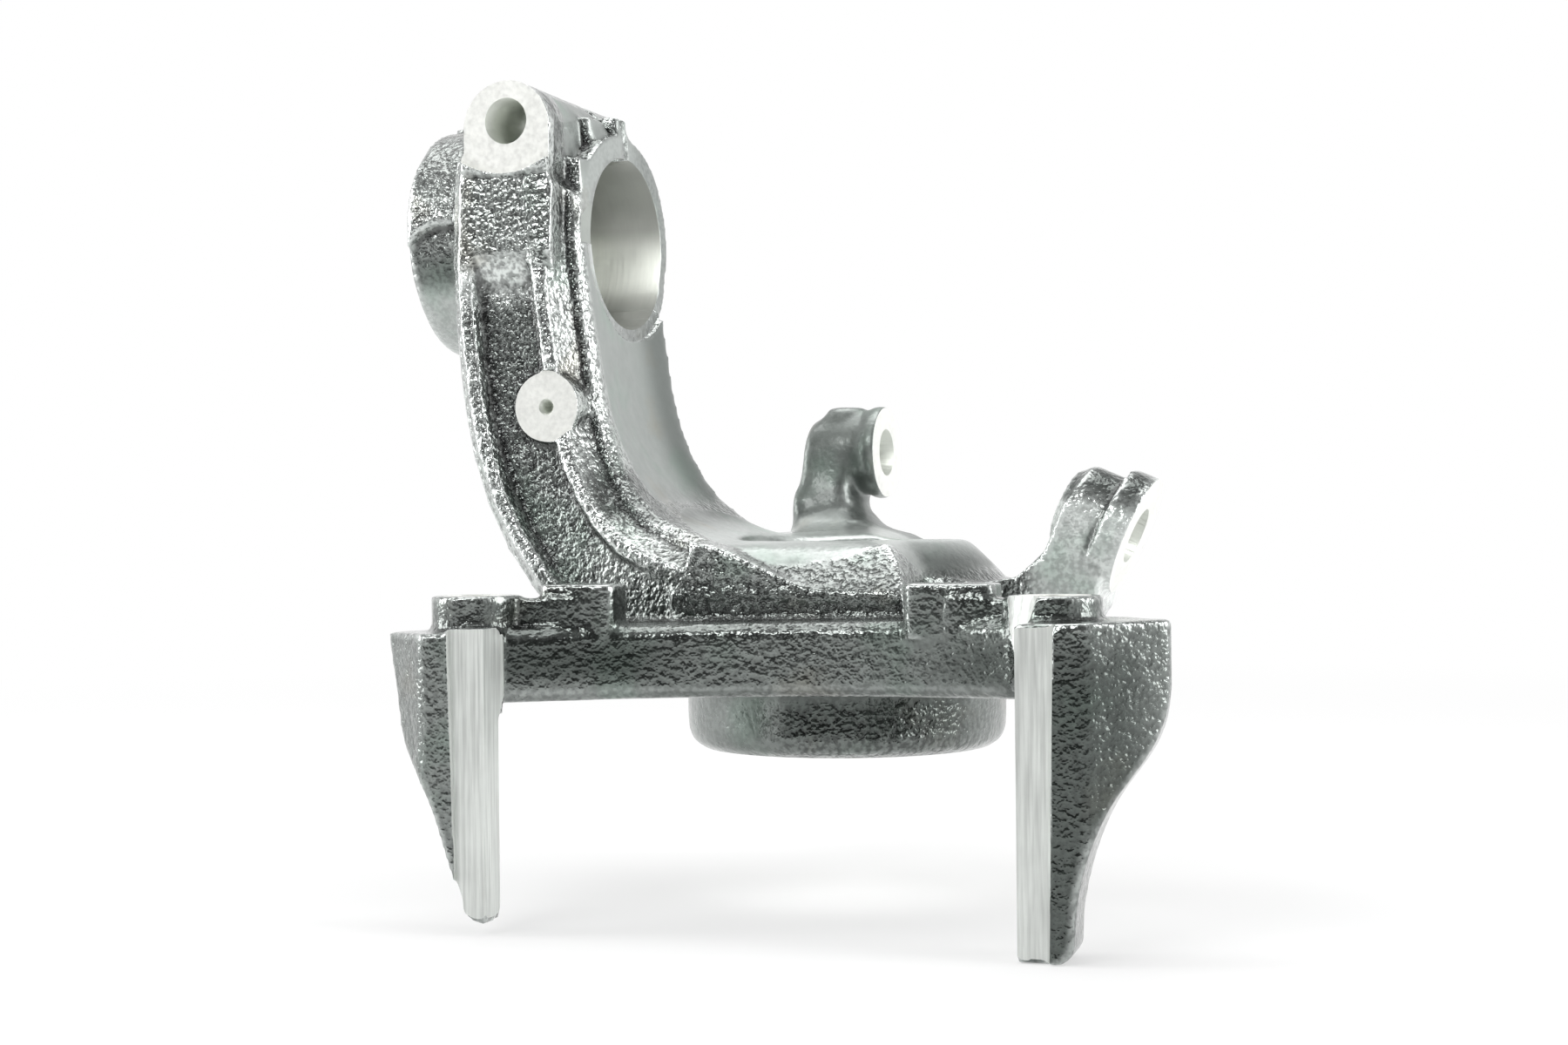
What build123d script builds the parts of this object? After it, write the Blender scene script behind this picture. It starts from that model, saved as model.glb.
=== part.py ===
"""Steering knuckle with an integral brake carrier: one iron casting with machined seats.

Frame: the wheel axis is Z, with Z = 0 on the outboard rim of the hub housing and +Z inboard.
+X runs down the car to the ball joint and -X up to the strut; the brake carrier faces -Y.
Millimetres and degrees throughout.
"""

import os
from math import cos, radians, sin

from build123d import *

# ---- hub housing and wheel bearing seat
housing_d = 98.0
housing_h = 54.0
hub_top_z = 63.0
hub_top_d = 75.0
rim_round = 5.0
bearing_d = 72.0
bearing_w = 37.0
bore_chamfer = 1.0
circlip_w = 2.2
circlip_d = 75.5
circlip_z = 3.0
shaft_clear_d = 62.0

# ---- brake carrier, in a frame turned about the wheel axis
carrier_turn = 3.6
pad_span = 146.0
ledge_y = 107.0
ledge_w = 10.5
ledge_step = 1.5
land_y = 100.0
land_relief = 0.8
web_t = 20.5
web_z = 20.0
web_tilt = 1.1
web_mid_y = 76.0
web_end_y = 92.0
web_round = 2.5
disc_clear_r = 121.0
right_tip_z = -43.5
left_tip_z = -40.0
runout_r = 8.0
runout_z = 27.0
guide_span = 165.0
guide_shift = -3.0
guide_y = 84.0
guide_boss_d = 25.0
guide_boss_z = 48.5
guide_drill_d = 8.5
blocks = [(-56.0, 22.0), (50.5, 25.0)]
block_h = 11.0
bridge_h = 7.0

# ---- strut clamp
strut_d = 55.0
clamp_wall = 7.5
clamp_len = 60.0
clamp_face_x = -75.0
strut_y = 5.5
strut_z = 158.5
slit_w = 3.5
collar_len = 26.0
collar_rise = 2.5
bolt_x = -95.5
bolt_z = 192.5
bolt_hole_d = 14.2
ear_w = 29.0
ear_h = 12.5
tab_x = -84.8
ear_spot_r = 28.0
ear_spot_rise = 11.8
ear_near_y = -39.0
ear_far_y = 31.0

# ---- strut arm
arm_far_y = 28.0
arm_wall = 9.0
arm_front_y = -57.0
panel_depth = 4.5
spot_d = 21.0
spot_x = -80.6
spot_y = -43.0
spot_z = 104.0
spot_margin = 0.5
spot_centre_d = 5.0

# ---- steering arm
tie_hole_d = 16.0
tie_boss_d = 33.0
tie_boss_w = 4.5
tie_neck_d = 28.0
tie_spot_d = 22.0
tie_x = -12.0
tie_back_x = -37.0
tie_y = 80.0
tie_z = 92.0
stem_x = -39.0
stop_d = 10.5

# ---- ball joint lug
ball_hole_d = 17.0
ball_boss_d = 36.0
ball_boss_w = 8.0
ball_neck_d = 29.0
ball_len = 23.0
ball_face = (90.4, 0.0, 63.2)
ball_tilt = 23.5

housing_r = housing_d / 2
half_pad = pad_span / 2
clamp_r = strut_d / 2 + clamp_wall
clamp_back_x = clamp_face_x - clamp_len
web_top = web_z + web_t
shoulder_z = circlip_z + circlip_w + bearing_w


def xz(y):
    """Sketch plane across Y, with +X right and +Z up; it extrudes towards -Y."""
    return Plane(origin=(0, y, 0), x_dir=(1, 0, 0), z_dir=(0, -1, 0))


def yz(x):
    """Sketch plane across X, with +Y right and +Z up; it extrudes towards +X."""
    return Plane(origin=(x, 0, 0), x_dir=(0, 1, 0), z_dir=(1, 0, 0))


# ---- hub housing: a turned drum with a rounded outboard rim and a tapered inboard shoulder
with BuildPart() as housing:
    with BuildSketch(Plane.XZ):
        with BuildLine():
            Polyline(
                (0, 0),
                (housing_r - rim_round, 0),
                (housing_r - 0.3 * rim_round, 0.3 * rim_round),
                (housing_r, rim_round),
                (housing_r, housing_h - 3),
                (housing_r - 2.5, housing_h),
                (hub_top_d / 2, hub_top_z),
                (0, hub_top_z),
                close=True,
            )
        make_face()
    revolve(axis=Axis.Z)

# ---- carrier web: a bridge between the horns, hollowed towards the caliper
with BuildPart() as web:
    with BuildSketch(xz(-10)):
        with Locations((0, web_z + web_t / 2)):
            Rectangle(pad_span + 100, web_t, rotation=web_tilt)
    extrude(amount=100)
    with BuildSketch(Plane.XY):
        with BuildLine():
            hollow = ThreePointArc(
                (-half_pad, -web_end_y), (0, -web_mid_y), (half_pad, -web_end_y)
            )
            Polyline(
                hollow @ 1,
                (half_pad + 10, -web_end_y - 2),
                (half_pad + 33, -86),
                (half_pad + 24, -70),
                (half_pad - 8, -56),
                (32, -20),
                (-32, -20),
                (-half_pad + 8, -56),
                (-half_pad - 24, -70),
                (-half_pad - 33, -86),
                (-half_pad - 10, -web_end_y - 2),
                hollow @ 0,
            )
        make_face()
    extrude(amount=web_top + 20, mode=Mode.INTERSECT)
    hollow_wall = web.faces().filter_by(GeomType.CYLINDER)[0]
    chamfer(hollow_wall.edges().filter_by(GeomType.LINE, reverse=True), web_round)


def horn(wing, tip_z):
    """A carrier horn on the +X side. Its plan section is cut to the side outline of its wing,
    which is given as distances out from the pad's abutment, with heights."""
    outline = [(half_pad + out, z) for out, z in wing]
    end_x = outline[-1][0]
    with BuildPart() as part:
        with BuildSketch(Plane.XY.offset(tip_z - 5)):
            with BuildLine():
                Polyline(
                    (half_pad, -ledge_y - ledge_step),
                    (half_pad + 18, -ledge_y - ledge_step),
                    (half_pad + 38, -web_end_y),
                    (half_pad + 35, -guide_y),
                    (half_pad + 14, -web_end_y),
                    (half_pad, -web_end_y),
                    close=True,
                )
            rim = make_face()
            fillet(rim.vertices().sort_by(Axis.X)[-2:], 3)
        extrude(amount=web_top + 15 - tip_z)
        with BuildSketch(xz(-60)):
            with BuildLine():
                outer = Spline(*outline)
                tip = ThreePointArc(outer @ 1, (end_x - 1.5, tip_z + 1.5), (end_x - 5, tip_z))
                Polyline(tip @ 1, (half_pad - 1, tip_z), (half_pad - 1, outline[0][1]), outer @ 0)
            make_face()
        extrude(amount=60, mode=Mode.INTERSECT)
        with BuildSketch(Plane.XY.offset(tip_z - 5)):
            Circle(disc_clear_r)
        extrude(amount=web_z + 1 - tip_z, mode=Mode.SUBTRACT)
        with BuildSketch(xz(-ledge_y)):
            Polygon(
                (half_pad - 1, -60), (half_pad + ledge_w - 2.5, -60),
                (half_pad + ledge_w, 60), (half_pad - 1, 60), align=None,
            )
        extrude(amount=10, mode=Mode.SUBTRACT)
        with BuildSketch(xz(-land_y)):
            Rectangle(2 * (half_pad + land_relief), 200)
        extrude(amount=-20, mode=Mode.SUBTRACT)
        chamfer(part.edges().filter_by(Axis.Z).group_by(Axis.Y)[0].sort_by(Axis.X)[0], 1.2)
    return part.part


right_wing = [(38, 60), (37.8, 34), (36.5, 20), (32.8, 10), (24.3, -2.4), (18.6, -15), (14.6, -38)]
left_wing = [(35, 60), (33.5, 34), (30.0, 20), (26.8, 8), (19.0, -2.4), (13.5, -15), (6.8, -34)]
horn_top = Plane(origin=(0, 0, web_top), z_dir=Vector(0, 0, 1).rotate(Axis.Y, -web_tilt))
right_horn = split(horn(right_wing, right_tip_z), bisect_by=horn_top, keep=Keep.BOTTOM)
left_horn = split(
    mirror(horn(left_wing, left_tip_z), about=Plane.YZ), bisect_by=horn_top, keep=Keep.BOTTOM
)

# ---- guide pin bosses, and the cast blocks between them with a low bridge to each boss
guide_spots = [(guide_shift + side * guide_span / 2, -guide_y) for side in (-1, 1)]
with BuildPart() as bosses:
    with BuildSketch(Plane.XY.offset(web_z + 4)):
        with Locations(*guide_spots):
            Circle(guide_boss_d / 2)
    extrude(amount=guide_boss_z - web_z - 4)
    with BuildSketch(Plane.XY.offset(web_top - 4)):
        for block_x, block_w in blocks:
            with Locations((block_x, -web_mid_y)):
                RectangleRounded(block_w, 14, 3)
    extrude(amount=block_h + 4)
    with BuildSketch(Plane.XY.offset(web_top - 4)):
        for (block_x, block_w), (guide_x, guide_back_y) in zip(blocks, guide_spots):
            with Locations(((block_x + guide_x) / 2, guide_back_y + 4)):
                Rectangle(abs(guide_x - block_x), 8)
    extrude(amount=bridge_h + 4)

# ---- strut arm: a ribbed section lofted along its curved spine, up to the clamp
# each station: inner flank x and z, turn, thickness, near face y, flank edge y, flank hollow,
# depth of the front recess
stations = [
    (-76.0, 182.0, 0, 40.0, -39.5, -27, 0.0, 4.5),
    (-74.0, 151.0, 3, 42.5, -41.5, -28, 1.2, 4.5),
    (-70.0, 124.0, 7, 44.2, -42.5, -29, 4.0, 4.5),
    (-65.5, 101.0, 15, 43.8, -45.0, -31, 4.0, 4.5),
    (-57.5, 83.5, 32, 43.0, -49.0, -35, 3.0, 4.5),
    (-45.0, 70.5, 54, 42.3, -54.0, -41, 1.5, 3.0),
    (-27.0, 63.5, 78, 42.0, arm_front_y, -46, 0.5, 0.4),
]
station_steps = 2


def between(before, start, end, after, share):
    """Station on the smooth curve from start to end that also runs through before and after."""
    values = []
    for a, b, c, d in zip(before, start, end, after):
        bend = 2 * a - 5 * b + 4 * c - d + share * (3 * b - a - 3 * c + d)
        values.append(b + share * (c - a + share * bend) / 2)
    return values


curve = [stations[0], *stations, stations[-1]]
arm_stations = [
    between(*curve[first : first + 4], step / station_steps)
    for first in range(len(stations) - 1)
    for step in range(station_steps)
]
arm_stations.append(stations[-1])


def section(x, z, turn):
    """Sketch plane across the arm: X runs from the inner flank outwards, Y towards the far side."""
    outwards = Vector(-cos(radians(turn)), 0, -sin(radians(turn)))
    up = outwards.cross(Vector(0, 1, 0))
    return Plane(origin=(x, 0, z), x_dir=outwards, z_dir=up)


with BuildPart() as arm:
    for x, z, turn, t, near, edge, hollow, recess in arm_stations:
        with BuildSketch(section(x, z, turn)):
            Polygon(
                (0, arm_far_y),
                (hollow, strut_y),
                (0, edge),
                (2.5, edge - 4),
                (4.5, edge - 3),
                (9.0, near),
                (t - 5.0, near),
                (t - 3.0, near + 4),
                (t, near + 6),
                (t, arm_far_y),
                align=None,
            )
    loft(ruled=True)
    for x, z, turn, t, near, edge, hollow, recess in arm_stations:
        with BuildSketch(section(x, z, turn)):
            Polygon(
                (12.5, near - 1),
                (14.5, near + recess),
                (t - 10.5, near + recess),
                (t - 9.0, near - 1),
                align=None,
            )
    loft(ruled=True, mode=Mode.SUBTRACT)
    for x, z, turn, t, near, edge, hollow, recess in stations[2:6]:
        with BuildSketch(section(x, z, turn)):
            Polygon(
                (arm_wall + 2, near + 2 * arm_wall),
                (t - arm_wall, near + 2 * arm_wall),
                (t - arm_wall + 1, arm_far_y + 9),
                (arm_wall + 1, arm_far_y + 9),
                align=None,
            )
    loft(ruled=True, mode=Mode.SUBTRACT)

# ---- what fills the arm's recess: the raised panel below the bolt boss, and the gauge spot's pad
with BuildPart() as panel:
    with BuildSketch(yz(bolt_x - 11.5)):
        Polygon((-33, 141.5), (-37.5, 142.5), (-41.2, 151.5), (-39, 183), (-30, 183), align=None)
    extrude(amount=27)
    with BuildSketch(xz(spot_y + 8)):
        with Locations((spot_x, spot_z)):
            Circle(spot_d / 2)
    extrude(amount=9)

# ---- tail: the arm's foot runs out along the front of the hub housing, over a sloping panel
with BuildPart() as tail:
    with BuildSketch(yz(-34)):
        Polygon(
            (arm_front_y + 1, web_top - 3),
            (arm_front_y - 0.5, 48.2),
            (-45, hub_top_z - 1),
            (-15, hub_top_z + 0.5),
            (-15, web_top - 3),
            align=None,
        )
    extrude(amount=80)
    with BuildSketch(xz(-10)):
        with BuildLine():
            end = ThreePointArc((23, hub_top_z + 3), (31, 59), (36, 48))
            Polyline(end @ 1, (37, 36), (-40, 36), (-40, hub_top_z + 3), end @ 0)
        make_face()
    extrude(amount=60, mode=Mode.INTERSECT)
with BuildPart() as foot:
    with BuildSketch(xz(-20)):
        with BuildLine():
            crest = Spline((-28, 63), (-19.7, 61.3), (0, 52.8), (12, 49), (30, 48.2))
            Polyline(crest @ 1, (30, web_top - 3), (-33.5, web_top - 3), crest @ 0)
        make_face()
    extrude(amount=-20 - arm_front_y)

# ---- strut clamp barrel with its arched collar
with BuildPart() as clamp:
    with BuildSketch(yz(clamp_back_x)):
        with Locations((strut_y, strut_z)):
            Circle(clamp_r)
    extrude(amount=clamp_len)
with BuildPart() as collar:
    with BuildSketch(yz(clamp_back_x)):
        with Locations((strut_y, strut_z + 2)):
            Circle(clamp_r + collar_rise)
    extrude(amount=collar_len)
    with BuildSketch(xz(strut_y + 60)):
        with Locations((clamp_back_x + 13, strut_z - 10)):
            Circle(15)
        with Locations((clamp_back_x + 13, strut_z - 27)):
            Rectangle(40, 51)
    extrude(amount=120, mode=Mode.SUBTRACT)

# ---- clamp bolt ears, slit later by one cut: y and width of each station
ears = [(ear_near_y, ear_w), (ear_near_y + 7, ear_w), (ear_near_y + 28, ear_w - 5), (ear_far_y, ear_w - 6)]
with BuildPart() as ear:
    for y, w in ears:
        with BuildSketch(xz(y)):
            with BuildLine():
                crown = ThreePointArc(
                    (bolt_x - w / 2, bolt_z), (bolt_x, bolt_z + ear_h), (bolt_x + w / 2, bolt_z)
                )
                Polyline(
                    crown @ 1, (bolt_x + w / 2, strut_z + 10), (bolt_x - w / 2, strut_z + 10), crown @ 0
                )
            make_face()
    loft(ruled=True)
with BuildPart() as tab:
    with BuildSketch(Plane.XY.offset(strut_z + 28)):
        with Locations((tab_x, strut_y - 13)):
            RectangleRounded(13, 13, 2)
    extrude(amount=10.5)
    with BuildSketch(Plane.XY.offset(strut_z + 38.5)):
        with Locations((tab_x, strut_y - 13)):
            Ellipse(4, 3)
    extrude(amount=-1.5, mode=Mode.SUBTRACT)

# ---- steering arm: a cranked stem off the back of the hub, ending in the tie rod boss
with BuildPart() as steer:
    with BuildSketch(yz(stem_x - 20)):
        Polygon(
            (25, 34),
            (25, hub_top_z + 1),
            (54, hub_top_z + 3),
            (62, 72),
            (68, 98),
            (74, tie_z + 14),
            (86, tie_z + 14),
            (tie_y + tie_boss_d / 2 - 1, tie_z),
            (tie_y + tie_boss_d / 2 - 3, tie_z - 10),
            (84, 70),
            (66, 48),
            (48, 36),
            align=None,
        )
    extrude(amount=80)
    with BuildSketch(xz(10)):
        with BuildLine():
            shoulder = ThreePointArc((stem_x, tie_z), (stem_x + 3.5, tie_z + 10), (stem_x + 12, tie_z + 14))
            flare = ThreePointArc((stem_x + 17, 82), (stem_x + 22, 72), (stem_x + 37, hub_top_z + 2))
            Polyline(shoulder @ 1, (stem_x + 17, tie_z + 14), flare @ 0)
            Polyline(flare @ 1, (8, 60), (8, 30), (stem_x - 6, 30), (stem_x - 1, 70), shoulder @ 0)
        make_face()
    extrude(amount=-100, mode=Mode.INTERSECT)
    with BuildSketch(yz(stem_x + 10)):
        with Locations((tie_y, tie_z)):
            Circle(tie_neck_d / 2)
    extrude(amount=tie_x - stem_x - 10)
    with BuildSketch(yz(tie_x - tie_boss_w)):
        with Locations((tie_y, tie_z)):
            Circle(tie_boss_d / 2)
    extrude(amount=tie_boss_w)
    with BuildSketch(Plane.XY.offset(tie_z + 10)):
        with Locations((stem_x + 13, tie_y - 2)):
            Circle(7)
    extrude(amount=6.5)
    with BuildSketch(yz(stem_x - 2.5)):
        with Locations((66, 74.5)):
            Circle(stop_d / 2)
    extrude(amount=8)
    with BuildSketch(yz(tie_back_x)):
        with Locations((tie_y, tie_z)):
            Circle(tie_spot_d / 2)
    extrude(amount=-20, mode=Mode.SUBTRACT)

# ---- ball joint lug: a collared, tilted boss at the end of a short arm
ball_out = Vector(cos(radians(ball_tilt)), 0, -sin(radians(ball_tilt)))
ball_plane = Plane(origin=ball_face, x_dir=(0, 1, 0), z_dir=ball_out)
with BuildPart() as lug:
    with BuildSketch(ball_plane):
        Circle(ball_neck_d / 2)
    extrude(amount=-ball_len)
    chamfer(lug.edges().group_by(Axis.X)[0], 4)
    with BuildSketch(ball_plane):
        Circle(ball_boss_d / 2)
    extrude(amount=-ball_boss_w)
with BuildPart() as lug_arm:
    with BuildSketch(xz(60)):
        Polygon(
            (30, 16), (30, 54), (48, 50), (58, 51.5), (66, 59), (72.4, 74.2), (87.4, 70.2),
            (80.6, 42.6), (74, 33), (56, 22), align=None,
        )
    extrude(amount=120)
    with BuildSketch(Plane.XY):
        Polygon(
            (25, -40), (44, -26), (62, -15), (100, -13), (100, 13), (62, 15), (44, 26), (25, 40),
            align=None,
        )
    extrude(amount=100, mode=Mode.INTERSECT)

# ---- the casting, then everything that is machined into it
with BuildPart() as knuckle:
    add(housing.part)
    for piece in (web.part, right_horn, left_horn, bosses.part):
        add(piece, rotation=(0, 0, carrier_turn))
    for piece in (tail, foot, arm, panel, clamp, collar, ear, tab, steer, lug, lug_arm):
        add(piece.part)

    # relief between the near ear and the clamp's end
    with BuildSketch(xz(strut_y - clamp_r + 2.5)):
        with Locations((clamp_face_x, bolt_z - 4)):
            SlotOverall(36, 2 * (clamp_face_x - bolt_x - ear_w / 2 + 0.5), rotation=90)
    extrude(amount=30, mode=Mode.SUBTRACT)

    # wheel bearing seat with its circlip groove and the shaft clearance above it
    with BuildSketch(Plane.XZ):
        Polygon(
            (0, -1),
            (bearing_d / 2 + bore_chamfer, -1),
            (bearing_d / 2 + bore_chamfer, 0),
            (bearing_d / 2, bore_chamfer),
            (bearing_d / 2, circlip_z),
            (circlip_d / 2, circlip_z),
            (circlip_d / 2, circlip_z + circlip_w),
            (bearing_d / 2, circlip_z + circlip_w),
            (bearing_d / 2, shoulder_z),
            (shaft_clear_d / 2, shoulder_z),
            (shaft_clear_d / 2, hub_top_z + 12),
            (0, hub_top_z + 12),
            align=None,
        )
    revolve(axis=Axis.Z, mode=Mode.SUBTRACT)

    # strut bore and clamp slit
    with BuildSketch(yz(clamp_back_x - 5)):
        with Locations((strut_y, strut_z)):
            Circle(strut_d / 2)
        with Locations((strut_y, strut_z + strut_d)):
            Rectangle(slit_w, 1.5 * strut_d)
    extrude(amount=clamp_len + 25, mode=Mode.SUBTRACT)
    with BuildSketch(yz(clamp_face_x)):
        with Locations((strut_y, strut_z)):
            Circle(strut_d / 2 + clamp_wall / 2)
    extrude(amount=25, mode=Mode.SUBTRACT)

    # clamp bolt hole, spot faced where the bolt's head sits
    with BuildSketch(xz(ear_near_y)):
        with Locations((bolt_x, bolt_z + ear_spot_rise)):
            Circle(ear_spot_r)
    extrude(amount=10, mode=Mode.SUBTRACT)
    with BuildSketch(xz(ear_far_y + 10)):
        with Locations((bolt_x, bolt_z)):
            Circle(bolt_hole_d / 2)
    extrude(amount=ear_far_y - ear_near_y + 20, mode=Mode.SUBTRACT)

    # gauge spot on the arm, with its centre drill mark
    with BuildSketch(xz(spot_y)):
        with Locations((spot_x, spot_z)):
            Circle(spot_d / 2 + spot_margin)
    extrude(amount=20, mode=Mode.SUBTRACT)
    with Locations(Location((spot_x, spot_y, spot_z), (90, 0, 0))):
        CounterSinkHole(spot_centre_d / 4, spot_centre_d / 2, depth=spot_centre_d)

    # tie rod hole and ball joint hole
    with BuildSketch(yz(tie_back_x - 10)):
        with Locations((tie_y, tie_z)):
            Circle(tie_hole_d / 2)
    extrude(amount=tie_x - tie_back_x + 20, mode=Mode.SUBTRACT)
    with BuildSketch(ball_plane):
        Circle(ball_hole_d / 2)
    extrude(amount=ball_len + 7, both=True, mode=Mode.SUBTRACT)

    # drilled guide pin holes, and the cutter run-outs in the corners of the web
    carrier_plane = Plane.XY.rotated((0, 0, carrier_turn))
    with BuildSketch(carrier_plane):
        with Locations(*guide_spots):
            Circle(guide_drill_d / 2)
    extrude(amount=guide_boss_z + 5, mode=Mode.SUBTRACT)
    runout_h = guide_boss_z - runout_z + 2
    with Locations(carrier_plane.offset(runout_z)):
        with Locations((half_pad - 4, -web_end_y - 3), (4 - half_pad, -web_end_y - 3)):
            Cone(
                0.5, runout_r, runout_h, mode=Mode.SUBTRACT,
                align=(Align.CENTER, Align.CENTER, Align.MIN),
            )


knuckle.part.label = "knuckle"
os.makedirs("parts", exist_ok=True)
export_step(knuckle.part, "parts/knuckle.step")
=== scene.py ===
"""Looks of the steering knuckle: the raw casting is remeshed from the frame's node and softened,
then its seats, bores and faces are machined back into it, so that only they are crisp and bright.

Metres, in the part's own frame: the wheel axis is Z, -Y faces the brake caliper.
"""

import math

import bmesh
import bpy
import numpy as np
from mathutils import Matrix, Vector


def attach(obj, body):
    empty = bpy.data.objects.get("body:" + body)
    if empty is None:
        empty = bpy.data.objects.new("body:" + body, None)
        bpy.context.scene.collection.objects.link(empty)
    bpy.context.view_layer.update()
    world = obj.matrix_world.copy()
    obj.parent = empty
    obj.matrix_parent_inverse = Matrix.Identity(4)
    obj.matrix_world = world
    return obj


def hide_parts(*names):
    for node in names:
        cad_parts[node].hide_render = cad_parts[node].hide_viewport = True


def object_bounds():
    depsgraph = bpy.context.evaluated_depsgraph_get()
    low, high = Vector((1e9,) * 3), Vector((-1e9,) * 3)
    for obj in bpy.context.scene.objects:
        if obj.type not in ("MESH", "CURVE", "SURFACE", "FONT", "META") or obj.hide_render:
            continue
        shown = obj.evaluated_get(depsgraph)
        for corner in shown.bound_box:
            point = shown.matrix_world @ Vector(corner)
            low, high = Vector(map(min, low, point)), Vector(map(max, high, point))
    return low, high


MM = 0.001
VOXEL = 1.0 * MM
KEPT_SHARE = 0.54
CAST, MILLED, FACED, TURNED, DRILLED, BORED = range(6)

# machined sizes and places, in millimetres, and angles in radians: the same as the solids have
CARRIER_TURN = math.radians(3.6)
HALF_PAD = 73.0
LEDGE_Y = 107.0
LEDGE_W, LEDGE_TAPER = 10.5, 2.5
LAND_Y = 100.0
LAND_RELIEF = 0.8
WEB_END_Y = 92.0
HORN_ENDS_Z = (-40.0, -43.5)
RUNOUT_R, RUNOUT_Z = 8.0, 27.0
RUNOUT_IN, RUNOUT_OUT = 4.0, 3.0
HUB_TOP_Z = 63.0
HUB_R = 49.0
BEARING_R, CIRCLIP_R, SHAFT_R = 36.0, 37.75, 31.0
BEARING_CHAMFER = 1.0
CIRCLIP_Z = (3.0, 5.2)
SHOULDER_Z = 42.2
STRUT_R = 27.5
STRUT_AXIS = (5.5, 158.5)
CLAMP_X = (-135.0, -75.0)
CLAMP_R, CLAMP_WALL = 35.0, 7.5
SLIT_W = 3.5
BOLT = (-95.5, 192.5)
BOLT_R = 7.1
EAR_Y = (-39.0, 31.0)
EAR_HALF_W, EAR_H = 14.5, 12.5
EAR_SPOT_R, EAR_SPOT_RISE = 28.0, 11.8
NUT_SPOT_R = 11.5
TIE = (80.0, 92.0)
TIE_R = 8.0
TIE_FACES = (-37.0, -12.0)
TIE_BOSS_R, TIE_SPOT_R = 16.5, 11.0
BALL_FACE = Vector((90.4, 0.0, 63.2))
BALL_TILT = math.radians(23.5)
BALL_R = 8.5
BALL_BOSS_R = 18.0
BALL_LEN = 23.0
GUIDES = ((-85.5, -84.0), (79.5, -84.0))
GUIDE_TOP = 48.5
GUIDE_R = 4.25
GUIDE_SPOT_R = 9.5
SPOT = Vector((-80.6, -43.0, 104.0))
SPOT_R = 10.5
SPOT_MARK_R, SPOT_PILOT_DEPTH = 2.5, 5.0

# stock on a machined face, and how far cutters reach past faces, through holes and past the horns
STOCK = 2.0
CLEAR = 9.0
OVER = 5.0
PAST = 60.0

# the camera that was solved from the photograph
CAMERA_PLACE = (0.21766, -0.63605, 0.0682)
CAMERA_TURN, CAMERA_ROLL = math.radians(20.5), math.radians(-0.6)
LENS_MM, FILM_MM = 50, 36

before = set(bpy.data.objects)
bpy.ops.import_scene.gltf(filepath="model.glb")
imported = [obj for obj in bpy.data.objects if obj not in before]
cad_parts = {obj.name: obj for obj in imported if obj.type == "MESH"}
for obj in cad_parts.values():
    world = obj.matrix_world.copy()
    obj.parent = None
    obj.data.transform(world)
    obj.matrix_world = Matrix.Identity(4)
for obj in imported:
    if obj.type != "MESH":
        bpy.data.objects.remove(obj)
cad_box = [list(corner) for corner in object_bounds()]
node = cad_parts["knuckle"]


# ---------------------------------------------------------------- mesh helpers


def mesh_object(name, bm, materials=()):
    mesh = bpy.data.meshes.new(name)
    bm.to_mesh(mesh)
    bm.free()
    for material in materials:
        mesh.materials.append(material)
    obj = bpy.data.objects.new(name, mesh)
    bpy.context.scene.collection.objects.link(obj)
    return obj


def revolved(profile, place=Matrix(), steps=96):
    """A closed solid turned about the local Z axis from (radius, height) pairs in millimetres."""
    bm = bmesh.new()
    angles = [2 * math.pi * k / steps for k in range(steps)]
    rings = []
    for radius, height in profile:
        r, h = radius * MM, height * MM
        points = [(r * math.cos(a), r * math.sin(a), h) for a in angles] if r else [(0, 0, h)]
        rings.append([bm.verts.new(point) for point in points])
    for low, high in zip(rings, rings[1:]):
        for k in range(steps):
            quad = [ring[j % len(ring)] for ring, j in ((low, k), (low, k + 1), (high, k + 1), (high, k))]
            # a ring on the axis is one point, where the quad is a triangle or nothing
            corners = list(dict.fromkeys(quad))
            if len(corners) > 2:
                bm.faces.new(corners)
    bmesh.ops.recalc_face_normals(bm, faces=bm.faces)
    bm.transform(place)
    return bm


def cylinder(radius, start, end, steps=96):
    """A cylinder between the centres of its ends, in millimetres."""
    start, end = Vector(start), Vector(end)
    run = end - start
    turn = run.to_track_quat("Z", "Y").to_matrix().to_4x4()
    profile = [(0, 0), (radius, 0), (radius, run.length), (0, run.length)]
    return revolved(profile, Matrix.Translation(start * MM) @ turn, steps)


def prism(outline, low, high, axis, turn=0.0):
    """A prism along X or Y over an outline of (across, height) pairs, in millimetres, turned about Z."""

    def corner(point, along):
        across, height = point
        return Vector((along, across, height) if axis == "X" else (across, along, height)) * MM

    bm = bmesh.new()
    base = [bm.verts.new(corner(point, low)) for point in outline]
    top = [bm.verts.new(corner(point, high)) for point in outline]
    bm.faces.new(base)
    bm.faces.new(top)
    for k in range(len(outline)):
        bm.faces.new((base[k - 1], base[k], top[k], top[k - 1]))
    bmesh.ops.recalc_face_normals(bm, faces=bm.faces)
    bm.transform(Matrix.Rotation(turn, 4, "Z"))
    return bm


def rectangle(left, right, bottom, top):
    return [(left, bottom), (right, bottom), (right, top), (left, top)]


def apply_modifiers(obj):
    depsgraph = bpy.context.evaluated_depsgraph_get()
    fresh = bpy.data.meshes.new_from_object(obj.evaluated_get(depsgraph), depsgraph=depsgraph)
    obj.modifiers.clear()
    obj.data = fresh


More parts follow.
